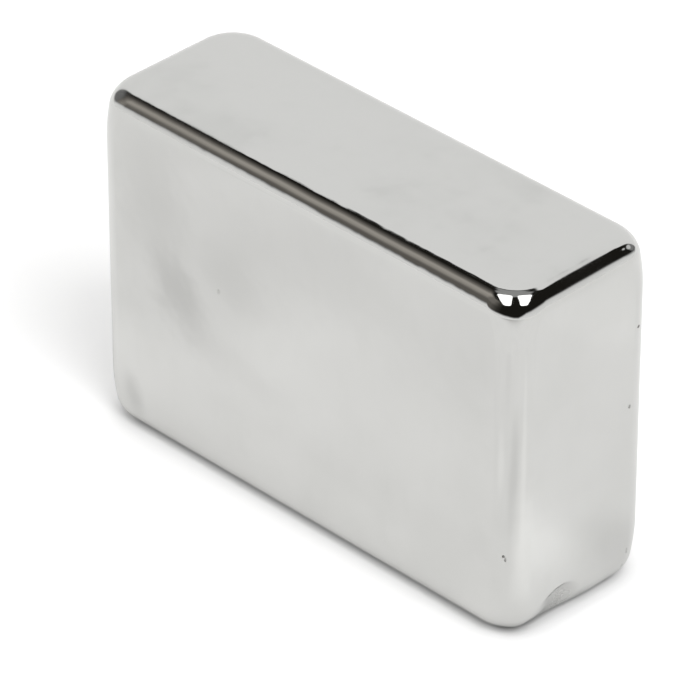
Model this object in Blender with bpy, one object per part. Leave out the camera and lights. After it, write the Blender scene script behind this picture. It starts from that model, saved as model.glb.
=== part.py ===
"""Block magnet: one pressed, ground and tumbled solid under a thin bright nickel plating.

The block stands on one of its long narrow sides. Its two large faces are the pole faces.
Origin: the middle of the face it stands on. X runs along the length, Y through the
thickness from pole face to pole face, Z up. All sizes are in metres.
"""
import math

import bmesh
import bpy
from mathutils import Matrix, Vector

# Block, over the flat faces
LENGTH = 0.030
THICKNESS = 0.010
HEIGHT = 0.020

# Edges as the tumbling barrel leaves them: the corners wear more than the edges do
RIM_RADIUS = 0.0010       # edges round the top and the bottom face
UPRIGHT_RADIUS = 0.0015   # the four upright edges, at mid height
CORNER_GAIN = 0.0010      # what the upright radius gains by the time it meets a face
CORNER_RUN = 0.0020       # how far beyond the rim the gain fades out

# Knock in the lower rim of the +X end: a long shallow hollow, as an oval pressed in leaves it
DENT_LENGTH = 0.0070      # of the oval, along the rim
DENT_WIDTH = 0.0038       # of the oval, up the end face
DENT_THICKNESS = 0.0015   # of the oval, in the direction it was pressed
DENT_DEPTH = 0.00047      # how far it went in past the rim
DENT_FROM_MIDDLE = 0.0022        # its centre lies this far towards the front pole face
DENT_UP = 0.0012                 # and this far above the face the block stands on
DENT_LEAN = math.radians(23.0)   # the hollow looks down by this much
DENT_RISE = math.radians(12.0)   # it climbs by this much towards the back pole face

# Fineness of the rounded stretches
ARC_STEPS = 10
RIM_STEPS = 7
RUN_STEPS = 5

NICKEL_COLOUR = (0.62, 0.62, 0.605, 1.0)
NICKEL_ROUGHNESS = 0.08


def clear_scene():
    for old in list(bpy.data.objects):
        bpy.data.objects.remove(old, do_unlink=True)


def nickel_material():
    material = bpy.data.materials.new("nickel_plate")
    material.use_nodes = True
    shader = material.node_tree.nodes["Principled BSDF"]
    shader.inputs["Base Color"].default_value = NICKEL_COLOUR
    shader.inputs["Metallic"].default_value = 1.0
    shader.inputs["Roughness"].default_value = NICKEL_ROUGHNESS
    return material


def rounding_depths():
    """Distances below a face at which the rounding needs an outline, from the face inwards."""
    quarter = math.pi / 2
    rim = [RIM_RADIUS * (1 - math.cos(quarter * step / RIM_STEPS)) for step in range(RIM_STEPS + 1)]
    run = [RIM_RADIUS + CORNER_RUN * step / RUN_STEPS for step in range(1, RUN_STEPS + 1)]
    return rim + run


def rim_inset(depth):
    """How far the quarter-round rim draws the outline in at a distance below the face."""
    rise = max(RIM_RADIUS - depth, 0.0)
    return RIM_RADIUS - math.sqrt(RIM_RADIUS ** 2 - rise ** 2)


def upright_radius(depth):
    """Radius of the upright edges, which grows towards the face."""
    fade = max(1.0 - depth / (RIM_RADIUS + CORNER_RUN), 0.0)
    return UPRIGHT_RADIUS + CORNER_GAIN * fade ** 2


def add_outline(mesh, height, depth):
    """One closed outline of the block, a rectangle with four round corners."""
    inset = rim_inset(depth)
    radius = upright_radius(depth) - inset
    centre_x = LENGTH / 2 - inset - radius
    centre_y = THICKNESS / 2 - inset - radius
    ring = []
    for corner, (side_x, side_y) in enumerate(((1, 1), (-1, 1), (-1, -1), (1, -1))):
        for step in range(ARC_STEPS + 1):
            angle = math.pi / 2 * (corner + step / ARC_STEPS)
            x = side_x * centre_x + radius * math.cos(angle)
            y = side_y * centre_y + radius * math.sin(angle)
            ring.append(mesh.verts.new((x, y, height)))
    return [mesh.edges.new((ring[i - 1], ring[i])) for i in range(len(ring))]


def block_mesh():
    """Skin the outlines from the face it stands on to the top face and cap both ends."""
    mesh = bmesh.new()
    depths = rounding_depths()
    rings = [add_outline(mesh, depth, depth) for depth in depths]
    rings += [add_outline(mesh, HEIGHT - depth, depth) for depth in reversed(depths)]
    for lower, upper in zip(rings, rings[1:]):
        bmesh.ops.bridge_loops(mesh, edges=lower + upper)
    bmesh.ops.contextual_create(mesh, geom=rings[0])
    bmesh.ops.contextual_create(mesh, geom=rings[-1])
    bmesh.ops.recalc_face_normals(mesh, faces=mesh.faces)
    return mesh


def add_object(name, mesh):
    data = bpy.data.meshes.new(name)
    mesh.to_mesh(data)
    mesh.free()
    data.shade_smooth()
    item = bpy.data.objects.new(name, data)
    bpy.context.scene.collection.objects.link(item)
    return item


def dent_cutter():
    """The oval that pressed the hollow, standing mostly outside the rim."""
    mesh = bmesh.new()
    half_size = Vector((DENT_THICKNESS, DENT_LENGTH, DENT_WIDTH)) / 2
    oval = Matrix.Diagonal(half_size).to_4x4()
    bmesh.ops.create_uvsphere(mesh, u_segments=28, v_segments=18, radius=1.0, matrix=oval)
    cutter = add_object("dent_cutter", mesh)
    cutter.rotation_euler = (DENT_RISE, DENT_LEAN, 0.0)
    outward = Matrix.Rotation(DENT_LEAN, 3, "Y") @ Vector((1.0, 0.0, 0.0))
    rim_axis = Vector((LENGTH / 2 - RIM_RADIUS, -DENT_FROM_MIDDLE, DENT_UP))
    cutter.location = rim_axis + outward * (RIM_RADIUS - DENT_DEPTH + DENT_THICKNESS / 2)
    cutter.hide_render = True
    cutter.display_type = "WIRE"
    return cutter


def build_magnet():
    block = add_object("magnet_block", block_mesh())
    block.data.materials.append(nickel_material())
    dent = block.modifiers.new("dent", "BOOLEAN")
    dent.operation = "DIFFERENCE"
    dent.solver = "EXACT"
    dent.object = dent_cutter()
    shading = block.modifiers.new("flat faces shade flat", "WEIGHTED_NORMAL")
    shading.keep_sharp = True
    return block


def main():
    clear_scene()
    build_magnet()


main()
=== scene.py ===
"""Bright nickel plating for the block magnet, and the plain light studio it stands in.

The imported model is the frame: metres, the block standing on one long narrow side on z = 0,
X along its length, Y through its thickness from the front pole face, Z up.
"""
import math

import bmesh
import bpy
from mathutils import Matrix, Vector


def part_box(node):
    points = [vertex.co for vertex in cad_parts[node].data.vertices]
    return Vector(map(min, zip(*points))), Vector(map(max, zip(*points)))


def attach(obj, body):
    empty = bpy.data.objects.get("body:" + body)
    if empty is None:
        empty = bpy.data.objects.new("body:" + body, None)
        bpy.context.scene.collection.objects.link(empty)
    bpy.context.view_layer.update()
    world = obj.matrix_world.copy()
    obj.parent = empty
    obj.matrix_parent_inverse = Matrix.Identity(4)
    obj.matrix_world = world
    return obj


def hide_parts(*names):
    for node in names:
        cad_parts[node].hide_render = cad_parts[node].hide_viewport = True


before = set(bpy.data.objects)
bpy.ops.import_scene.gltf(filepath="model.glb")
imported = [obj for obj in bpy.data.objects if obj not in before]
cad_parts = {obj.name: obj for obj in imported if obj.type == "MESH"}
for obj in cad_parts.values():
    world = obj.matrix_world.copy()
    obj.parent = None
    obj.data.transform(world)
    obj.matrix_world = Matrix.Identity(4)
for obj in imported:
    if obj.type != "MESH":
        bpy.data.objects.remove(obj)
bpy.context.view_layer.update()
BLOCK_LOW, BLOCK_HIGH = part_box("magnet_block")
BLOCK_SIZE = BLOCK_HIGH - BLOCK_LOW

bl_info = {
    "name": "Block magnet",
    "version": (1, 0, 0),
    "blender": (4, 5, 0),
    "location": "3D View > Sidebar > Magnet",
    "description": "A tumbled, nickel-plated block magnet and its light studio",
    "category": "Object",
}

MM = 0.001

# Fineness of the rounded stretches
ARC_STEPS = 32
RIM_STEPS = 20
RUN_STEPS = 8
WALL_STEPS = 14

# The part of the +X end that is cut finely for the knock, in millimetres: how far out it starts,
# along the rim, upwards, and one step
KNOCK_FROM = 12.0
KNOCK_ALONG = (-5.4, 2.0)
KNOCK_UP = (0.06, 3.0)
KNOCK_CELL = 0.06
KNOCK_SNAP = KNOCK_CELL / 4    # a cut that passes a point this closely goes through it
LEVEL = 0.9999            # a face whose normal is this upright is level, and stays whole
KNOCK_DULL = 0.20 * MM    # pressed in this far, the plating is fully dull
SOFTENS_TOWARDS = (-0.6, -0.8)    # a bowl's edge softens this way, to the front and down,
SOFTENS = (-0.75, 0.1)    # from here to here, in shares of the bowl's reach
NEVER_FADES = (8.0, 9.0)  # shares of its reach that lie far outside a bowl

# Pin pits in the plating: a point on the surface, the radii of the oval there, both in
# millimetres, and how bare the pit is
PIN_PITS = (
    ((14.95, 3.89, 15.05), (0.07, 0.13, 0.08), 1.0),     # beside the back upright edge
    ((15.00, 3.35, 10.53), (0.05, 0.08, 0.12), 0.6),     # half way up the end face
    ((14.99, 3.47, 1.62), (0.04, 0.08, 0.15), 0.4),      # low on the end face
    ((14.98, 3.16, 0.82), (0.05, 0.08, 0.12), 0.4),      # on the lower rim of the end
    ((14.21, -4.82, 5.06), (0.10, 0.05, 0.08), 0.6),     # on the near upright edge
    ((14.30, -4.77, 4.88), (0.05, 0.05, 0.14), 0.5),     # running on from that one
    ((-5.89, -5.00, 11.59), (0.13, 0.013, 0.15), 0.25),  # left on the front pole face
)
PIT_FINENESS = (20, 12)

# The plating's surface
FILM_PATCH = (0.42, 0.72)     # noise from which a broad patch of film starts, and is full
FILM_STREAK = (0.48, 0.78)    # the same for a streak
STREAK_FILM = 0.3             # film in a streak
STREAK_STRETCH = 0.4          # a streak's scale up and down against its width
SPECK_BARE = 0.35             # how bare a speck is
GRAIN_SIZE = 0.18 * MM        # across the grain of the dulled metal
GRAIN_NOISE = (0.3, 0.7)      # noise between the grains, and on them
GRAIN_DULL = (0.94, 1.0)      # how dull the metal is there
DULL_ROUGHNESS = 0.22         # what dulled plating and bare metal add to the roughness
BARE_ROUGHNESS = 0.4

# The picture's frame in pixels, and where the block's middle stands in it
FRAME_LONG_SIDE = 678
MIDDLE_RIGHT = 32.2     # right of the frame's middle
MIDDLE_UP = 14.7        # above it
SENSOR = 36.0           # millimetres along the frame's long side
SIGHT = (0.01, 10.0)    # nearest and furthest that the camera sees, in metres


class BlockSizes(bpy.types.PropertyGroup):
    """Sizes of the block and of its tumbled edges."""

    length: bpy.props.FloatProperty(
        name="Length", description="Over the end faces",
        default=BLOCK_SIZE.x, unit="LENGTH", precision=5)
    thickness: bpy.props.FloatProperty(
        name="Thickness", description="Over the pole faces",
        default=BLOCK_SIZE.y, unit="LENGTH", precision=5)
    height: bpy.props.FloatProperty(
        name="Height", description="From the standing face to the top",
        default=BLOCK_SIZE.z, unit="LENGTH", precision=5)
    rim_radius: bpy.props.FloatProperty(
        name="Rim radius", description="Rounding round the top and the standing face",
        default=1.0 * MM, unit="LENGTH", precision=5)
    upright_radius: bpy.props.FloatProperty(
        name="Upright radius", description="Rounding of the upright edges at mid height",
        default=1.5 * MM, unit="LENGTH", precision=5)
    corner_gain: bpy.props.FloatProperty(
        name="Corner gain", description="What that rounding gains at the top and standing face",
        default=1.0 * MM, unit="LENGTH", precision=5)
    corner_run: bpy.props.FloatProperty(
        name="Corner run", description="How far beyond the rim that gain fades out",
        default=2.0 * MM, unit="LENGTH", precision=5)


class KnockSizes(bpy.types.PropertyGroup):
    """The knock in the lower rim of the +X end: a soft flattening, and in it a creased hollow.

    Each is pressed in by a shallow bowl. Its place is that of its deepest point before it goes in,
    towards the front pole face and above the standing face. Its reach is how far along the rim and
    how far up the end it goes until it has risen by its depth. Its turn is how far it looks down,
    and how far it climbs towards the back pole face.
    """

    flat_place: bpy.props.FloatVectorProperty(
        name="Flattening, place", description="Forward and up",
        size=2, default=(2.40 * MM, 0.99 * MM), unit="LENGTH", precision=5)
    flat_reach: bpy.props.FloatVectorProperty(
        name="Flattening, reach", description="Along the rim and up the end",
        size=2, default=(2.62 * MM, 1.34 * MM), unit="LENGTH", precision=5)
    flat_turn: bpy.props.FloatVectorProperty(
        name="Flattening, turn", description="Looks down, and climbs",
        size=2, default=(math.radians(36.2), math.radians(13.8)), unit="ROTATION")
    flat_depth: bpy.props.FloatProperty(
        name="Flattening, depth", description="Past the rim",
        default=0.244 * MM, unit="LENGTH", precision=6)
    flat_softness: bpy.props.FloatVectorProperty(
        name="Flattening, softness", description="Of its upper edge, and at the front and below",
        size=2, default=(0.30 * MM, 0.30 * MM), unit="LENGTH", precision=6)
    hollow_place: bpy.props.FloatVectorProperty(
        name="Hollow, place", description="Forward and up",
        size=2, default=(1.70 * MM, 1.15 * MM), unit="LENGTH", precision=5)
    hollow_reach: bpy.props.FloatVectorProperty(
        name="Hollow, reach", description="Along the rim and up the end",
        size=2, default=(1.60 * MM, 1.08 * MM), unit="LENGTH", precision=5)
    hollow_turn: bpy.props.FloatVectorProperty(
        name="Hollow, turn", description="Looks down, and climbs",
        size=2, default=(math.radians(9.5), math.radians(26.2)), unit="ROTATION")
    hollow_depth: bpy.props.FloatProperty(
        name="Hollow, depth", description="Past the rim",
        default=0.29 * MM, unit="LENGTH", precision=6)
    hollow_softness: bpy.props.FloatVectorProperty(
        name="Hollow, softness", description="Of its upper edge, and at the front and below",
        size=2, default=(0.04 * MM, 0.40 * MM), unit="LENGTH", precision=6)
    hollow_fade: bpy.props.FloatVectorProperty(
        name="Hollow, fade", description="Where it starts to come out at the front, and is out",
        size=2, default=(-0.3, 1.0))
    hollow_fullness: bpy.props.FloatProperty(
        name="Hollow, fullness", description="Flatter in the middle and steeper at the edge",
        default=1.7, min=1.0)


class PlatingLook(bpy.types.PropertyGroup):
    """Colour and surface of the nickel."""

    colour: bpy.props.FloatVectorProperty(
        name="Nickel", description="Clean bright nickel",
        default=(0.62, 0.62, 0.605, 1.0), subtype="COLOR", size=4, min=0.0, max=1.0)
    film_colour: bpy.props.FloatVectorProperty(
        name="Film", description="Nickel under the thin film that handling leaves",
        default=(0.597, 0.598, 0.582, 1.0), subtype="COLOR", size=4, min=0.0, max=1.0)
    dull_colour: bpy.props.FloatVectorProperty(
        name="Dulled", description="Plating that a knock has pressed",
        default=(0.57, 0.57, 0.555, 1.0), subtype="COLOR", size=4, min=0.0, max=1.0)
    pit_colour: bpy.props.FloatVectorProperty(
        name="Pit", description="Bottom of a pin pit",
        default=(0.30, 0.295, 0.28, 1.0), subtype="COLOR", size=4, min=0.0, max=1.0)
    roughness: bpy.props.FloatProperty(
        name="Roughness", description="Of the clean plating", default=0.045, min=0.0, max=1.0)
    film_roughness: bpy.props.FloatProperty(
        name="Film roughness", description="Where the film is thickest",
        default=0.13, min=0.0, max=1.0)
    wave_size: bpy.props.FloatProperty(
        name="Wave size", description="Across one of the soft waves that tumbling leaves",
        default=2.8 * MM, unit="LENGTH", precision=5)
    wave_height: bpy.props.FloatProperty(
        name="Wave height", description="Of those waves",
        default=0.032 * MM, unit="LENGTH", precision=6)
    peel_size: bpy.props.FloatProperty(
        name="Peel size", description="Across the fine ripple of the plating",
        default=0.35 * MM, unit="LENGTH", precision=5)
    peel_height: bpy.props.FloatProperty(
        name="Peel height", description="Of that ripple",
        default=0.0006 * MM, unit="LENGTH", precision=6)


class StudioLook(bpy.types.PropertyGroup):
    """Camera, floor and light."""

    azimuth: bpy.props.FloatProperty(
        name="Azimuth", description="Camera, from the front pole face towards the +X end",
        default=math.radians(44.78), unit="ROTATION")
    elevation: bpy.props.FloatProperty(
        name="Elevation", description="Camera, above the floor",
        default=math.radians(33.48), unit="ROTATION")
    roll: bpy.props.FloatProperty(
        name="Roll", description="Camera, about its own axis",
        default=math.radians(0.13), unit="ROTATION")
    distance: bpy.props.FloatProperty(
        name="Distance", description="Camera from the middle of the block",
        default=0.296, unit="LENGTH")
    lens: bpy.props.FloatProperty(
        name="Lens", description="Focal length in millimetres", default=307.2)
    floor_colour: bpy.props.FloatVectorProperty(
        name="Floor", description="White card the block stands on",
        default=(0.80, 0.80, 0.80, 1.0), subtype="COLOR", size=4, min=0.0, max=1.0)
    floor_lift: bpy.props.FloatProperty(
        name="Floor lift", description="What lifts the lit card to white in the picture",
        default=0.325, min=0.0)
    floor_mirrored: bpy.props.FloatProperty(
        name="Floor lift, mirrored", description="The same where the metal shows the card",
        default=0.225, min=0.0)
    window: bpy.props.FloatProperty(
        name="Window", description="Large soft light from the right", default=1.6, min=0.0)
    ceiling: bpy.props.FloatProperty(
        name="Ceiling", description="Soft light from straight above", default=0.35, min=0.0)
    boxes: bpy.props.FloatProperty(
        name="Overhead boxes", description="Brightness of the two boxes overhead, where 1 is white",
        default=2.4, min=0.0)
    surround: bpy.props.FloatProperty(
        name="Surround", description="Brightness of the low white surround", default=0.92, min=0.0)
    backdrop: bpy.props.FloatProperty(
        name="Backdrop", description="Brightness of the white card behind on the left",
        default=0.985, min=0.0)


class NodeWriter:
    """Adds nodes to a tree in columns, left to right."""

    ROWS = 4
    STEP = (220, -240)

    def __init__(self, tree):
        self.tree = tree
        self.tree.nodes.clear()
        self.count = 0

    def add(self, kind, **settings):
        made = self.tree.nodes.new(kind)
        column, row = divmod(self.count, self.ROWS)
        made.location = (column * self.STEP[0], row * self.STEP[1])
        self.count += 1
        for name, value in settings.items():
            setattr(made, name, value)
        return made

    def feed(self, socket, value):
        """Link a socket, or set a plain value."""
        if isinstance(value, bpy.types.NodeSocket):
            self.tree.links.new(value, socket)
        else:
            socket.default_value = value

    def math(self, operation, *values, clamp=False):
        made = self.add("ShaderNodeMath", operation=operation, use_clamp=clamp)
        for socket, value in zip(made.inputs, values):
            self.feed(socket, value)
        return made.outputs[0]

    def smooth(self, value, start, end, low=0.0, high=1.0):
        """Goes smoothly from low to high as the value goes from start to end."""
        made = self.add("ShaderNodeMapRange", interpolation_type="SMOOTHSTEP")
        for name, given in (("Value", value), ("From Min", start), ("From Max", end),
                            ("To Min", low), ("To Max", high)):
            self.feed(made.inputs[name], given)
        return made.outputs[0]

    def mix_colour(self, share, first, second):
        made = self.add("ShaderNodeMix", data_type="RGBA")
        self.feed(made.inputs["Factor"], share)
        self.feed(made.inputs[6], first)
        self.feed(made.inputs[7], second)
        return made.outputs[2]

    def noise(self, vector, scale, detail=2.0):
        made = self.add("ShaderNodeTexNoise")
        self.feed(made.inputs["Vector"], vector)
        self.feed(made.inputs["Scale"], scale)
        self.feed(made.inputs["Detail"], detail)
        return made.outputs[0]

    def split(self, vector):
        made = self.add("ShaderNodeSeparateXYZ")
        self.feed(made.inputs[0], vector)
        return made.outputs

    def ramp(self, value, stops):
        """A colour ramp through (place, colour) stops."""
        made = self.add("ShaderNodeValToRGB")
        self.feed(made.inputs[0], value)
        elements = made.color_ramp.elements
        while len(elements) < len(stops):
            elements.new(0.5)
        for element, (place, colour) in zip(elements, stops):
            element.position = place
            element.color = (*colour, 1.0)
        return made.outputs[0]


def new_group(name, inputs, outputs):
    """An empty node group with its named sockets, and its two ends."""
    tree = bpy.data.node_groups.new(name, "ShaderNodeTree")
    for label, kind, default in inputs:
        socket = tree.interface.new_socket(label, in_out="INPUT", socket_type=kind)
        if default is not None:
            socket.default_value = default
    for label in outputs:
        tree.interface.new_socket(label, in_out="OUTPUT", socket_type="NodeSocketFloat")
    nodes = NodeWriter(tree)
    return tree, nodes, nodes.add("NodeGroupInput").outputs


def relief_group():
    """Height of the soft waves that tumbling leaves, and of the plating's fine ripple on them."""
    tree, nodes, given = new_group(
        "tumbled_relief",
        (("Vector", "NodeSocketVector", None),
         ("Wave Size", "NodeSocketFloat", None),
         ("Wave Height", "NodeSocketFloat", None),
         ("Peel Size", "NodeSocketFloat", None),
         ("Peel Height", "NodeSocketFloat", None)),
        ("Height",))
    wave = nodes.noise(given["Vector"], nodes.math("DIVIDE", 1.0, given["Wave Size"]), detail=2.0)
    peel = nodes.noise(given["Vector"], nodes.math("DIVIDE", 1.0, given["Peel Size"]), detail=1.0)
    wave = nodes.math("MULTIPLY", wave, given["Wave Height"])
    height = nodes.math("MULTIPLY_ADD", peel, given["Peel Height"], wave)
    nodes.feed(nodes.add("NodeGroupOutput").inputs["Height"], height)
    return tree


def film_group():
    """Where handling has left its thin film: broad patches, and streaks wiped up and down."""
    tree, nodes, given = new_group(
        "handling_film",
        (("Vector", "NodeSocketVector", None),
         ("Patch Size", "NodeSocketFloat", 7.0 * MM),
         ("Streak Width", "NodeSocketFloat", 1.3 * MM)),
        ("Film",))
    patch = nodes.noise(given["Vector"], nodes.math("DIVIDE", 1.0, given["Patch Size"]), detail=3.0)
    stretched = nodes.add("ShaderNodeVectorMath", operation="MULTIPLY")
    nodes.feed(stretched.inputs[0], given["Vector"])
    stretched.inputs[1].default_value = (1.0, 1.0, STREAK_STRETCH)
    streak = nodes.noise(
        stretched.outputs[0], nodes.math("DIVIDE", 1.0, given["Streak Width"]), detail=3.0)
    patch = nodes.smooth(patch, *FILM_PATCH)
    streak = nodes.smooth(streak, *FILM_STREAK, 0.0, STREAK_FILM)
    film = nodes.math("ADD", patch, streak, clamp=True)
    nodes.feed(nodes.add("NodeGroupOutput").inputs["Film"], film)
    return tree


def specks_group():
    """Sparse specks: one small dot in some of the cells of a loose grid."""
    tree, nodes, given = new_group(
        "plating_specks",
        (("Vector", "NodeSocketVector", None),
         ("Cell Size", "NodeSocketFloat", 1.6 * MM),
         ("Speck Radius", "NodeSocketFloat", 0.035 * MM),
         ("Share", "NodeSocketFloat", 0.3)),
        ("Mask",))
    cells = nodes.add("ShaderNodeTexVoronoi")
    nodes.feed(cells.inputs["Vector"], given["Vector"])
    nodes.feed(cells.inputs["Scale"], nodes.math("DIVIDE", 1.0, given["Cell Size"]))
    radius = nodes.math("DIVIDE", given["Speck Radius"], given["Cell Size"])
    core = nodes.math("MULTIPLY", radius, 0.5)
    dot = nodes.smooth(cells.outputs["Distance"], core, radius, 1.0, 0.0)
    chosen = nodes.math("LESS_THAN", nodes.split(cells.outputs["Color"])[0], given["Share"])
    nodes.feed(nodes.add("NodeGroupOutput").inputs["Mask"], nodes.math("MULTIPLY", dot, chosen))
    return tree


def nickel_material(look):
    """Bright nickel: a mirror with soft waves, a thin film of handling, specks and bare pits."""
    material = bpy.data.materials.new("bright_nickel")
    material.use_nodes = True
    nodes = NodeWriter(material.node_tree)
    place = nodes.add("ShaderNodeTexCoord").outputs["Object"]
    bare = nodes.add("ShaderNodeAttribute", attribute_name="bare").outputs["Fac"]
    dulled = nodes.add("ShaderNodeAttribute", attribute_name="dulled").outputs["Fac"]

    relief = nodes.add("ShaderNodeGroup", node_tree=relief_group())
    film = nodes.add("ShaderNodeGroup", node_tree=film_group())
    specks = nodes.add("ShaderNodeGroup", node_tree=specks_group())
    for group in (relief, film, specks):
        nodes.feed(group.inputs["Vector"], place)
    for label, value in (("Wave Size", look.wave_size), ("Wave Height", look.wave_height),
                         ("Peel Size", look.peel_size), ("Peel Height", look.peel_height)):
        relief.inputs[label].default_value = value

    grain = nodes.noise(place, 1.0 / GRAIN_SIZE, detail=3.0)
    dulled = nodes.math("MULTIPLY", dulled, nodes.smooth(grain, *GRAIN_NOISE, *GRAIN_DULL))
    spoiled = nodes.math("MULTIPLY_ADD", specks.outputs["Mask"], SPECK_BARE, bare, clamp=True)
    colour = nodes.mix_colour(film.outputs["Film"], tuple(look.colour), tuple(look.film_colour))
    colour = nodes.mix_colour(dulled, colour, tuple(look.dull_colour))
    colour = nodes.mix_colour(spoiled, colour, tuple(look.pit_colour))
    roughness = nodes.smooth(film.outputs["Film"], 0.0, 1.0, look.roughness, look.film_roughness)
    roughness = nodes.math("MULTIPLY_ADD", dulled, DULL_ROUGHNESS, roughness)
    roughness = nodes.math("MULTIPLY_ADD", spoiled, BARE_ROUGHNESS, roughness, clamp=True)
    bump = nodes.add("ShaderNodeBump")
    bump.inputs["Strength"].default_value = 1.0
    bump.inputs["Distance"].default_value = 1.0
    nodes.feed(bump.inputs["Height"], relief.outputs["Height"])

    shader = nodes.add("ShaderNodeBsdfPrincipled")
    shader.inputs["Metallic"].default_value = 1.0
    nodes.feed(shader.inputs["Base Color"], colour)
    nodes.feed(shader.inputs["Roughness"], roughness)
    nodes.feed(shader.inputs["Normal"], bump.outputs["Normal"])
    nodes.feed(nodes.add("ShaderNodeOutputMaterial").inputs["Surface"], shader.outputs[0])
    return material


def rim_inset(sizes, depth):
    """How far the quarter-round rim draws the outline in at a distance below the face."""
    rise = max(sizes.rim_radius - depth, 0.0)
    return sizes.rim_radius - math.sqrt(sizes.rim_radius ** 2 - rise ** 2)


def upright_radius(sizes, depth):
    """Radius of the upright edges, which grows towards the face."""
    fade = max(1.0 - depth / (sizes.rim_radius + sizes.corner_run), 0.0)
    return sizes.upright_radius + sizes.corner_gain * fade ** 2


def rounding_depths(sizes):
    """Distances below a face at which the rounding needs an outline."""
    quarter = math.pi / 2
    rim = [
        sizes.rim_radius * (1 - math.cos(quarter * step / RIM_STEPS))
        for step in range(RIM_STEPS + 1)]
    run = [
        sizes.rim_radius + sizes.corner_run * step / RUN_STEPS
        for step in range(1, RUN_STEPS + 1)]
    return rim + run


def wall_depths(sizes):
    """Even steps down the plain part of the walls, between the two rounded stretches."""
    start = sizes.rim_radius + sizes.corner_run
    step = (sizes.height - 2 * start) / WALL_STEPS
    return [start + step * count for count in range(1, WALL_STEPS)]


def add_outline(mesh, sizes, height, depth):
    """One closed outline: a circle whose quarters are moved out to the block's four corners."""
    inset = rim_inset(sizes, depth)
    radius = upright_radius(sizes, depth) - inset
    out_x = sizes.length / 2 - inset - radius
    out_y = sizes.thickness / 2 - inset - radius
    half_step = Matrix.Rotation(math.pi / (4 * ARC_STEPS), 4, "Z")
    circle = bmesh.ops.create_circle(
        mesh, segments=4 * ARC_STEPS, radius=radius,
        matrix=Matrix.Translation((0.0, 0.0, height)) @ half_step)["verts"]
    outline = list(dict.fromkeys(edge for vert in circle for edge in vert.link_edges))
    quarters = [
        (side_x, side_y, [v for v in circle if v.co.x * side_x > 0 and v.co.y * side_y > 0])
        for side_x in (-1, 1) for side_y in (-1, 1)]
    for side_x, side_y, quarter in quarters:
        bmesh.ops.translate(mesh, verts=quarter, vec=(side_x * out_x, side_y * out_y, 0.0))
    return outline


def block_mesh(sizes):
    """Outlines from the standing face to the top face, skinned and capped."""
    mesh = bmesh.new()
    depths = rounding_depths(sizes)
    outlines = [add_outline(mesh, sizes, depth, depth) for depth in depths + wall_depths(sizes)]
    outlines += [
        add_outline(mesh, sizes, sizes.height - depth, depth) for depth in reversed(depths)]
    for lower, upper in zip(outlines, outlines[1:]):
        bmesh.ops.bridge_loops(mesh, edges=lower + upper)
    bmesh.ops.contextual_create(mesh, geom=outlines[0])
    bmesh.ops.contextual_create(mesh, geom=outlines[-1])
    bmesh.ops.recalc_face_normals(mesh, faces=mesh.faces)
    return mesh


def cut_finely(mesh, axis, span):
    """Cut the +X end across one axis at even steps, so that there is metal to press."""
    steps = round((span[1] - span[0]) / KNOCK_CELL)
    across = Vector([1.0 if number == axis else 0.0 for number in range(3)])
    for step in range(steps + 1):
        place = (span[0] + step * KNOCK_CELL) * MM
        faces = [
            face for face in mesh.faces
            if abs(face.normal.z) < LEVEL
            and min(vert.co.x for vert in face.verts) > KNOCK_FROM * MM
            and min(vert.co[axis] for vert in face.verts) < place
            and max(vert.co[axis] for vert in face.verts) > place]
        edges = dict.fromkeys(edge for face in faces for edge in face.edges)
        verts = dict.fromkeys(vert for face in faces for vert in face.verts)
        bmesh.ops.bisect_plane(
            mesh, geom=[*faces, *edges, *verts], dist=KNOCK_SNAP * MM,
            plane_co=across * place, plane_no=across)


def ease(value, start, end):
    """Goes smoothly from 0 to 1 as the value goes from start to end."""
    share = min(max((value - start) / (end - start), 0.0), 1.0)
    return share * share * (3.0 - 2.0 * share)


def press_bowl(mesh, sizes, mask, place, reach, turn, depth, softness,
               fullness=1.0, fade=NEVER_FADES):
    """Move the metal that a shallow bowl would overlap down to the bowl.

    A fuller bowl is flatter in the middle and steeper at its edge. Towards the front pole face it
    comes out again where the fade says, in shares of its reach. Its edge goes from the first
    softness at the top to the second one at the front and below. The mask keeps how dull each
    point has become.
    """
    facing = Matrix.Rotation(turn[0], 3, "Y") @ Matrix.Rotation(turn[1], 3, "X")
    outward = facing @ Vector((1.0, 0.0, 0.0))
    rim_axis = Vector((sizes.length / 2 - sizes.rim_radius, -place[0], place[1]))
    deepest = rim_axis + outward * (sizes.rim_radius - depth)
    for vert in mesh.verts:
        if vert.co.x < KNOCK_FROM * MM:
            continue
        local = facing.transposed() @ (vert.co - deepest)
        along, up = local.y / reach[0], local.z / reach[1]
        over = local.x - depth * (along ** 2 + up ** 2) ** fullness
        down = SOFTENS_TOWARDS[0] * along + SOFTENS_TOWARDS[1] * up
        soft = softness[0] + (softness[1] - softness[0]) * ease(down, *SOFTENS)
        if over > -soft:
            push = over if over > soft else (over + soft) ** 2 / (4 * soft)
            push *= 1.0 - ease(-along, *fade)
            vert.co -= outward * push
            vert[mask] = min(vert[mask] + push / KNOCK_DULL, 1.0)


def press_knock(mesh, sizes, knock):
    """The flattening first, then the small hollow in it."""
    cut_finely(mesh, 1, KNOCK_ALONG)
    cut_finely(mesh, 2, KNOCK_UP)
    mask = mesh.verts.layers.float.new("dulled")
    press_bowl(mesh, sizes, mask, knock.flat_place, knock.flat_reach, knock.flat_turn,
               knock.flat_depth, knock.flat_softness)
    press_bowl(mesh, sizes, mask, knock.hollow_place, knock.hollow_reach, knock.hollow_turn,
               knock.hollow_depth, knock.hollow_softness, knock.hollow_fullness, knock.hollow_fade)
    cut_faces = [face for face in mesh.faces if 4 < len(face.verts) < 4 * ARC_STEPS]
    bmesh.ops.triangulate(mesh, faces=cut_faces)


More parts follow.
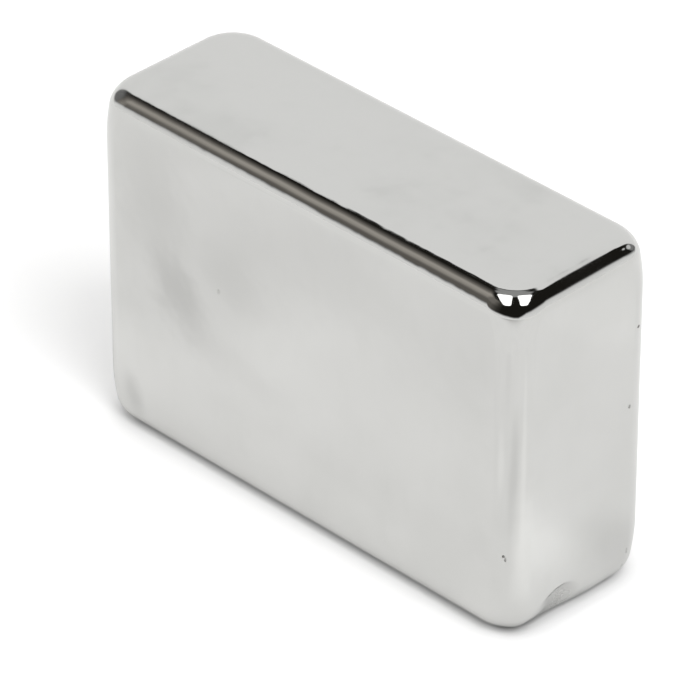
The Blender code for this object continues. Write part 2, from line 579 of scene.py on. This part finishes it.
def pits_mesh():
    """All pin pits as small ovals, each half sunk in the surface."""
    mesh = bmesh.new()
    round_segments, up_segments = PIT_FINENESS
    for centre, radii, _ in PIN_PITS:
        oval = Matrix.Diagonal(Vector(radii) * MM).to_4x4()
        bmesh.ops.create_uvsphere(
            mesh, u_segments=round_segments, v_segments=up_segments, radius=1.0,
            matrix=Matrix.Translation(Vector(centre) * MM) @ oval)
    return mesh


def add_object(name, mesh, material):
    data = bpy.data.meshes.new(name)
    mesh.to_mesh(data)
    mesh.free()
    data.shade_smooth()
    data.materials.append(material)
    item = bpy.data.objects.new(name, data)
    bpy.context.scene.collection.objects.link(item)
    return item


def cut(piece, tool, name):
    """A live cut of the tool's shape out of the piece."""
    made = piece.modifiers.new(name, "BOOLEAN")
    made.operation = "DIFFERENCE"
    made.solver = "EXACT"
    made.use_self = True
    made.material_mode = "TRANSFER"
    made.object = tool


def settle(piece, tools):
    """Make the modifiers' result the piece's own mesh, and take the tools away."""
    graph = bpy.context.evaluated_depsgraph_get()
    data = bpy.data.meshes.new_from_object(piece.evaluated_get(graph), depsgraph=graph)
    piece.modifiers.clear()
    piece.data = data
    for tool in tools:
        bpy.data.objects.remove(tool, do_unlink=True)
    return data


def mark_bare(data, bare_material):
    """Make the faces that a pit left a mask with a sharp edge, and take the materials away."""
    slot = data.materials.find(bare_material.name)
    mesh = bmesh.new()
    mesh.from_mesh(data)
    mask = mesh.faces.layers.float.new("bare")
    for face in mesh.faces:
        if face.material_index == slot:
            place = face.calc_center_median() / MM
            nearest = min(PIN_PITS, key=lambda pit: (place - Vector(pit[0])).length)
            face[mask] = nearest[2]
    for edge in mesh.edges:
        if len({face.material_index for face in edge.link_faces}) > 1:
            edge.smooth = False
    for face in mesh.faces:
        face.material_index = 0
    mesh.to_mesh(data)
    mesh.free()
    data.materials.clear()


class MAGNET_OT_build_block(bpy.types.Operator):
    """Build the nickel-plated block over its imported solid"""

    bl_idname = "magnet.build_block"
    bl_label = "Build block"
    bl_options = {"REGISTER", "UNDO"}

    def execute(self, context):
        sizes = context.scene.magnet_block
        nickel = nickel_material(context.scene.magnet_plating)
        bare = bpy.data.materials.new("bare_pit")
        mesh = block_mesh(sizes)
        press_knock(mesh, sizes, context.scene.magnet_knock)
        piece = add_object("plated_block", mesh, nickel)
        pits = add_object("pit_tool", pits_mesh(), bare)
        cut(piece, pits, "pin pits")
        mark_bare(settle(piece, (pits,)), bare)
        piece.modifiers.new("flat faces shade flat", "WEIGHTED_NORMAL").keep_sharp = True
        settle(piece, ()).materials.append(nickel)
        bpy.data.materials.remove(bare)
        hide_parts("magnet_block")
        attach(piece, "root")
        return {"FINISHED"}


# Directions in the studio are bearings, from the front pole face and positive towards the +X end,
# and elevations, both in degrees. An edge is a list of (bearing, elevation) that the white
# reaches up to.
BACKDROP_EDGE = (
    (-179.5, 0.0), (-177.0, 46.0), (-172.0, 52.0), (-165.0, 54.0), (-157.0, 52.0), (-148.0, 46.0),
    (-142.0, 40.5), (-138.0, 37.0), (-136.0, 35.5), (-134.0, 36.5), (-131.0, 38.0), (-126.0, 42.0),
    (-121.0, 44.0), (-117.0, 41.0), (-112.0, 35.0), (-106.0, 24.0), (-100.0, 0.0),
)
BACKDROP_SOFTNESS = 1.2
SURROUND_EDGE = (
    (-178.0, 0.0), (-168.0, 8.0), (-160.0, 20.0), (-106.0, 20.0), (-100.0, 2.0), (-88.0, 1.0),
    (-80.0, 4.0), (-70.0, 12.0), (-55.0, 20.0), (-41.0, 20.0), (-36.0, 13.0), (-30.0, 8.0),
    (-20.0, 6.5), (0.0, 9.0), (24.0, 8.0), (40.0, 4.0), (52.0, 4.0), (62.0, 12.0), (72.0, 21.0),
    (95.0, 25.0), (110.0, 25.5), (131.0, 21.5), (148.0, 15.0), (161.0, 8.0), (172.0, 1.0),
)
SURROUND_SOFTNESS = 6.5
HORIZON = (0.0, 12.0)    # elevations over which the surround goes from white to its brightness
EDGE_TOP = 60.0          # elevation that a white ramp stop stands for
DARK_ROOM = (0.014, 0.013, 0.011)
ROOM_SIDE = (
    # colour of the room by bearing
    (-112.0, DARK_ROOM),
    (-97.0, (0.080, 0.074, 0.067)),
    (-82.0, (0.215, 0.200, 0.183)),
    (-64.0, (0.470, 0.440, 0.400)),
    (-52.0, (0.370, 0.345, 0.315)),
    (-44.0, (0.220, 0.205, 0.187)),
    (-24.0, (0.200, 0.187, 0.170)),
    (-6.0, (0.055, 0.051, 0.045)),
    (5.0, DARK_ROOM),
)
ROOM_SIDE_TOP = (56.0, 64.0)    # elevations between which it gives way to the dark room
LOW_ROOM = (32.0, 42.0)         # elevations between which it comes out of its dark skirting
SKIRTING = 0.65                 # share of its own colour left on the skirting

# The two boxes overhead, as they lie on a plane one unit above the block. Across runs along
# bearing 135, from the line midway between them, and ahead runs along bearing 45.
BOX_ACROSS = math.tan(math.radians(13.2))         # to the middle of each, straight overhead
BOX_SPREAD = 0.17                                 # how much further out it is per unit ahead
BOX_HALF_WIDTH = math.tan(math.radians(9.0))
BOX_AHEAD = math.tan(math.radians(6.5))           # to the middle of both
BOX_HALF_LENGTH = math.tan(math.radians(24.0))
BOX_SQUARENESS = 5.0                              # 2 is an oval
BOX_RIM = (0.75, 1.25)                            # where the light fades out, with 1 as the edge
LEAST_RISE = 0.05                                 # z that a lower direction counts as

GLOWS = (
    # bearing, elevation, solid and faded radius, brightness
    (-135.0, 66.0, 12.0, 16.0, 0.37),   # lit patch of ceiling
    (-135.0, 51.0, 5.0, 8.0, 0.37),     # its lower end
    (-135.0, 44.5, 3.0, 5.0, 0.37),
    (-93.0, 15.0, 8.0, 26.0, 0.20),     # room beside the backdrop
    (175.0, 16.0, 8.0, 13.0, 0.26),     # doorway behind on the right
    (172.0, 23.0, 4.0, 8.0, 0.75),      # brightest at its top
    (166.0, 35.7, 1.5, 4.0, 0.80),      # small lamp above it
)

# Lamps: bearing, elevation and spread, in degrees
WINDOW = (78.0, 50.0, 35.0)
CEILING = (0.0, 88.0, 70.0)


def direction(bearing, elevation):
    """Unit vector for a bearing and an elevation in degrees."""
    a, e = math.radians(bearing), math.radians(elevation)
    return Vector((math.sin(a) * math.cos(e), -math.cos(a) * math.cos(e), math.sin(e)))


def round_glow(nodes, view, bearing, elevation, solid, gone, brightness):
    """A soft round glow in one direction of the studio."""
    aim = nodes.add("ShaderNodeVectorMath", operation="DOT_PRODUCT")
    nodes.feed(aim.inputs[0], view)
    aim.inputs[1].default_value = direction(bearing, elevation)
    faded, full = math.cos(math.radians(gone)), math.cos(math.radians(solid))
    return nodes.smooth(aim.outputs["Value"], faded, full, 0.0, brightness)


def white_below(nodes, turn, height, edge, softness, brightness):
    """White up to an edge whose elevation changes with the bearing."""
    stops = [((bearing + 180.0) / 360.0, (top / EDGE_TOP,) * 3) for bearing, top in edge]
    top = nodes.math("MULTIPLY", nodes.ramp(turn, stops), EDGE_TOP)
    return nodes.smooth(nodes.math("SUBTRACT", height, top), -softness, softness, brightness, 0.0)


def overhead_boxes(nodes, x, y, z, brightness):
    """The two boxes, in the plane above the block."""
    rise = nodes.math("MULTIPLY", nodes.math("MAXIMUM", z, LEAST_RISE), math.sqrt(2.0))
    ahead = nodes.math("DIVIDE", nodes.math("SUBTRACT", x, y), rise)
    across = nodes.math("DIVIDE", nodes.math("ADD", x, y), rise)
    apart = nodes.math("MULTIPLY_ADD", ahead, BOX_SPREAD, BOX_ACROSS)
    across = nodes.math("SUBTRACT", nodes.math("ABSOLUTE", across), apart)
    across = nodes.math("DIVIDE", across, BOX_HALF_WIDTH)
    ahead = nodes.math("DIVIDE", nodes.math("SUBTRACT", ahead, BOX_AHEAD), BOX_HALF_LENGTH)
    across, ahead = (
        nodes.math("POWER", nodes.math("ABSOLUTE", part), BOX_SQUARENESS)
        for part in (across, ahead))
    return nodes.smooth(nodes.math("ADD", across, ahead), *BOX_RIM, brightness, 0.0)


def studio_world(look):
    """White low all round and behind on the left, a dark room above, two boxes overhead."""
    world = bpy.data.worlds.new("studio")
    world.use_nodes = True
    nodes = NodeWriter(world.node_tree)
    view = nodes.add("ShaderNodeTexCoord").outputs["Generated"]
    x, y, z = nodes.split(view)
    bearing = nodes.math("ARCTAN2", x, nodes.math("MULTIPLY", y, -1.0))
    turn = nodes.math("MULTIPLY_ADD", bearing, 0.5 / math.pi, 0.5)
    height = nodes.math("MULTIPLY", nodes.math("ARCSINE", z), 180.0 / math.pi)

    room = nodes.ramp(turn, [((at + 180.0) / 360.0, colour) for at, colour in ROOM_SIDE])
    room = nodes.mix_colour(nodes.smooth(height, *LOW_ROOM, SKIRTING), (*DARK_ROOM, 1.0), room)
    room = nodes.mix_colour(nodes.smooth(height, *ROOM_SIDE_TOP), room, (*DARK_ROOM, 1.0))
    backdrop = white_below(nodes, turn, height, BACKDROP_EDGE, BACKDROP_SOFTNESS, look.backdrop)
    low = nodes.smooth(height, *HORIZON, 1.0, look.surround)
    surround = white_below(nodes, turn, height, SURROUND_EDGE, SURROUND_SOFTNESS, low)

    white = overhead_boxes(nodes, x, y, z, look.boxes)
    for part in [backdrop, surround] + [round_glow(nodes, view, *glow) for glow in GLOWS]:
        white = nodes.math("MAXIMUM", white, part)
    studio = nodes.add("ShaderNodeMix", data_type="RGBA", blend_type="LIGHTEN")
    studio.inputs["Factor"].default_value = 1.0
    nodes.feed(studio.inputs[6], room)
    nodes.feed(studio.inputs[7], white)
    direct = nodes.add("ShaderNodeLightPath").outputs["Is Camera Ray"]
    seen = nodes.mix_colour(direct, studio.outputs[2], (1.0, 1.0, 1.0, 1.0))
    background = nodes.add("ShaderNodeBackground")
    nodes.feed(background.inputs["Color"], seen)
    nodes.feed(nodes.add("ShaderNodeOutputWorld").inputs["Surface"], background.outputs[0])
    return world


FLOOR_POOLS = (
    # light and shade on the card, in millimetres:
    # centre, half sizes, turn in degrees, what it adds for the camera and in the metal
    ((0.0, -11.0), (26.0, 10.0), 0.0, 0.12, 0.05),         # thrown down by the front pole face
    ((0.0, -7.0), (22.0, 2.6), 0.0, 0.0, 0.06),            # most of all close to it
    ((21.5, -2.0), (6.0, 8.0), 0.0, 0.0, 0.20),            # and by the bright end face
    ((19.8, 2.5), (3.0, 2.4), 0.0, 0.0, 0.05),             # most of all at its middle
    ((17.5, -0.5), (2.6, 6.0), 0.0, 0.14, 0.0),            # which keeps its shade narrow
    ((13.7, -3.7), (1.0, 1.0), 0.0, -0.28, -0.10),         # darkest where the near corner stands
    ((31.5, -5.5), (9.0, 3.5), 0.0, 0.0, 0.09),            # light past the near upright edge
    ((25.0, -14.5), (6.5, 4.5), 0.0, 0.0, -0.13),          # soft shade towards the camera
    ((23.0, -27.0), (6.0, 5.0), 0.0, 0.0, -0.05),          # and further out
    ((13.5, -20.5), (5.0, 3.5), 0.0, 0.0, 0.10),           # light thrown past the near edge
    ((17.0, 5.4), (3.4, 3.0), 0.0, 0.0, -0.09),            # shade beside the far upright edge
    ((33.0, 21.5), (5.0, 4.5), 0.0, 0.0, 0.07),            # light beyond it
    ((-30.0, -22.4), (8.0, 2.4), 37.0, 0.0, -0.10),        # streak of shade on the left
    ((-20.2, -15.5), (6.0, 1.3), 31.0, 0.0, -0.17),        # darkest where it nears the block
    ((-12.5, -12.6), (5.0, 1.2), 10.0, 0.0, -0.05),        # bending along the block
    ((-18.0, -18.1), (4.0, 1.3), 20.0, 0.0, -0.06),        # a fainter one beside it
    ((-20.0, -24.0), (9.0, 5.0), 20.0, 0.0, -0.06),        # and a broad one beyond
    ((-21.5, -17.5), (10.5, 5.0), 38.0, 0.0, -0.08),       # over all of them
    ((-8.0, -24.0), (14.0, 5.0), 0.0, 0.0, -0.03),
    ((-14.9, -7.2), (2.4, 0.5), 34.0, 0.0, -0.16),         # a small one by the left end
    ((-33.0, -37.0), (12.0, 4.0), 68.0, 0.0, -0.08),       # shade back towards the camera
    ((-20.0, -9.0), (5.0, 3.0), 35.0, 0.0, 0.02),          # open card beyond the left end
    ((-40.0, -6.0), (12.0, 20.0), 0.0, 0.0, 0.04),
    ((90.0, -125.0), (90.0, 70.0), 50.0, 0.0, -0.45),      # the camera's own shade
)
POOL_FADE = (0.2, 1.25)      # where a pool starts to fade and has gone, in shares of its half sizes
CARD_PATCH = 9.0 * MM        # across the faint patches of the mirrored card
CARD_PATCHES = 0.10          # and their brightness from the darkest to the lightest
FLOOR_RADIUS = 0.6
FLOOR_DROP = 0.02 * MM

# Light left on the card under and beside the rim: millimetres out from the outline that the block
# stands on, and the share that is left. The knock opens the gap: as a pool with its centre, half
# sizes and turn, and by how much.
GAP_SPAN = 2.5
GAP_SHADE = ((0.2, 0.36), (0.4, 0.40), (0.62, 0.66), (1.0, 0.82), (1.6, 0.95), (2.4, 1.0))
KNOCK_CLEAR = ((14.2, -2.4), (1.6, 3.2), 0.0)
KNOCK_GAIN = 0.16 * MM


def footprint_distance(nodes, place, sizes):
    """Distance outwards from the rounded outline that the block stands on."""
    corner = sizes.upright_radius + sizes.corner_gain - sizes.rim_radius
    x, y, _ = nodes.split(place)
    squares = 0.0
    for along, size in ((y, sizes.thickness), (x, sizes.length)):
        straight = size / 2 - sizes.rim_radius - corner
        beyond = nodes.math("SUBTRACT", nodes.math("ABSOLUTE", along), straight)
        beyond = nodes.math("MAXIMUM", beyond, 0.0)
        squares = nodes.math("MULTIPLY_ADD", beyond, beyond, squares)
    knocked = floor_pool(nodes, place, *KNOCK_CLEAR)
    radius = nodes.math("MULTIPLY_ADD", knocked, -KNOCK_GAIN, corner)
    return nodes.math("SUBTRACT", nodes.math("SQRT", squares), radius)


def floor_pool(nodes, place, centre, half_sizes, turn):
    """A soft oval."""
    oval = nodes.add("ShaderNodeMapping", vector_type="TEXTURE")
    nodes.feed(oval.inputs["Vector"], place)
    oval.inputs["Location"].default_value = (centre[0] * MM, centre[1] * MM, -FLOOR_DROP)
    oval.inputs["Rotation"].default_value = (0.0, 0.0, math.radians(turn))
    oval.inputs["Scale"].default_value = (half_sizes[0] * MM, half_sizes[1] * MM, 1.0)
    reach = nodes.add("ShaderNodeVectorMath", operation="LENGTH")
    nodes.feed(reach.inputs[0], oval.outputs[0])
    return nodes.smooth(reach.outputs["Value"], *POOL_FADE, 1.0, 0.0)


def floor_material(look, sizes):
    """White card, lit as any card is, with painted shade under and beside the rim, painted pools of
    light and shade, and lifted towards white for the camera and the metal.
    """
    material = bpy.data.materials.new("white_card")
    material.use_nodes = True
    nodes = NodeWriter(material.node_tree)
    place = nodes.add("ShaderNodeTexCoord").outputs["Object"]
    seen = look.floor_lift
    mirrored = nodes.math("MULTIPLY_ADD", nodes.noise(place, 1.0 / CARD_PATCH), CARD_PATCHES,
                          look.floor_mirrored - CARD_PATCHES / 2)
    for centre, half_sizes, turn, seen_gain, mirrored_gain in FLOOR_POOLS:
        pool = floor_pool(nodes, place, centre, half_sizes, turn)
        mirrored = nodes.math("MULTIPLY_ADD", pool, mirrored_gain, mirrored)
        if seen_gain:
            seen = nodes.math("MULTIPLY_ADD", pool, seen_gain, seen)
    path = nodes.add("ShaderNodeLightPath")
    lift = nodes.math("MULTIPLY", path.outputs["Is Camera Ray"], seen)
    lift = nodes.math("MULTIPLY_ADD", path.outputs["Is Glossy Ray"], mirrored, lift)
    apart = nodes.math("DIVIDE", footprint_distance(nodes, place, sizes), GAP_SPAN * MM)
    # Painted contact shade: the card's colour and its lift fall towards black under and beside the
    # rim
    clear = nodes.ramp(apart, [(at / GAP_SPAN, (share,) * 3) for at, share in GAP_SHADE])
    card = nodes.add("ShaderNodeBsdfDiffuse")
    colour = nodes.mix_colour(clear, (0.0, 0.0, 0.0, 1.0), tuple(look.floor_colour))
    nodes.feed(card.inputs["Color"], colour)
    glow = nodes.add("ShaderNodeEmission")
    nodes.feed(glow.inputs["Strength"], nodes.math("MULTIPLY", lift, clear))
    both = nodes.add("ShaderNodeAddShader")
    nodes.feed(both.inputs[0], card.outputs[0])
    nodes.feed(both.inputs[1], glow.outputs[0])
    nodes.feed(nodes.add("ShaderNodeOutputMaterial").inputs["Surface"], both.outputs[0])
    return material


def add_floor(look, sizes):
    mesh = bmesh.new()
    bmesh.ops.create_circle(
        mesh, cap_ends=True, segments=64, radius=FLOOR_RADIUS,
        matrix=Matrix.Translation((0.0, 0.0, -FLOOR_DROP)))
    bmesh.ops.recalc_face_normals(mesh, faces=mesh.faces)
    floor = add_object("floor", mesh, floor_material(look, sizes))


def add_sun(name, bearing, elevation, spread, strength):
    """A soft distant lamp that metal doesn't mirror."""
    lamp = bpy.data.lights.new(name, "SUN")
    lamp.energy = strength
    lamp.angle = math.radians(spread)
    item = bpy.data.objects.new(name, lamp)
    item.rotation_mode = "QUATERNION"
    item.rotation_quaternion = direction(bearing, elevation).to_track_quat("Z", "Y")
    item.visible_glossy = False
    bpy.context.scene.collection.objects.link(item)


def add_camera(look):
    back = direction(math.degrees(look.azimuth), math.degrees(look.elevation))
    right = Vector((math.cos(look.azimuth), math.sin(look.azimuth), 0.0))
    axes = Matrix((right, back.cross(right), back)).transposed()
    stand = (axes @ Matrix.Rotation(look.roll, 3, "Z")).to_4x4()
    stand.translation = (BLOCK_LOW + BLOCK_HIGH) / 2 + back * look.distance
    camera = bpy.data.objects.new("camera", bpy.data.cameras.new("camera"))
    bpy.context.scene.collection.objects.link(camera)
    camera.matrix_world = stand
    camera.data.sensor_width = SENSOR
    camera.data.lens = look.lens
    camera.data.shift_x = -MIDDLE_RIGHT / FRAME_LONG_SIDE
    camera.data.shift_y = -MIDDLE_UP / FRAME_LONG_SIDE
    camera.data.clip_start, camera.data.clip_end = SIGHT
    return camera


class MAGNET_OT_set_studio(bpy.types.Operator):
    """Set up the white card, the studio round it, the lamps and the camera"""

    bl_idname = "magnet.set_studio"
    bl_label = "Set studio"
    bl_options = {"REGISTER", "UNDO"}

    def execute(self, context):
        scene = context.scene
        look = scene.magnet_studio
        add_floor(look, scene.magnet_block)
        scene.world = studio_world(look)
        add_sun("window", *WINDOW, look.window)
        add_sun("ceiling", *CEILING, look.ceiling)
        scene.camera = add_camera(look)
        scene.view_settings.view_transform = "Standard"
        return {"FINISHED"}


class MAGNET_PT_panel(bpy.types.Panel):
    """The magnet's pieces and its studio"""

    bl_idname = "MAGNET_PT_panel"
    bl_label = "Block magnet"
    bl_space_type = "VIEW_3D"
    bl_region_type = "UI"
    bl_category = "Magnet"

    def draw(self, context):
        scene = context.scene
        block = (scene.magnet_block, scene.magnet_knock, scene.magnet_plating)
        studio = (scene.magnet_studio,)
        for operator, groups in ((MAGNET_OT_build_block, block), (MAGNET_OT_set_studio, studio)):
            box = self.layout.box()
            for group in groups:
                for name in group.bl_rna.properties.keys():
                    if name not in ("rna_type", "name"):
                        box.prop(group, name)
            box.operator(operator.bl_idname)


CLASSES = (BlockSizes, KnockSizes, PlatingLook, StudioLook,
           MAGNET_OT_build_block, MAGNET_OT_set_studio, MAGNET_PT_panel)


def register():
    for item in CLASSES:
        bpy.utils.register_class(item)
    bpy.types.Scene.magnet_block = bpy.props.PointerProperty(type=BlockSizes)
    bpy.types.Scene.magnet_knock = bpy.props.PointerProperty(type=KnockSizes)
    bpy.types.Scene.magnet_plating = bpy.props.PointerProperty(type=PlatingLook)
    bpy.types.Scene.magnet_studio = bpy.props.PointerProperty(type=StudioLook)


def unregister():
    del bpy.types.Scene.magnet_studio
    del bpy.types.Scene.magnet_plating
    del bpy.types.Scene.magnet_knock
    del bpy.types.Scene.magnet_block
    for item in reversed(CLASSES):
        bpy.utils.unregister_class(item)


def main():
    register()
    bpy.ops.magnet.build_block()
    bpy.ops.magnet.set_studio()


if __name__ == "__main__":
    main()
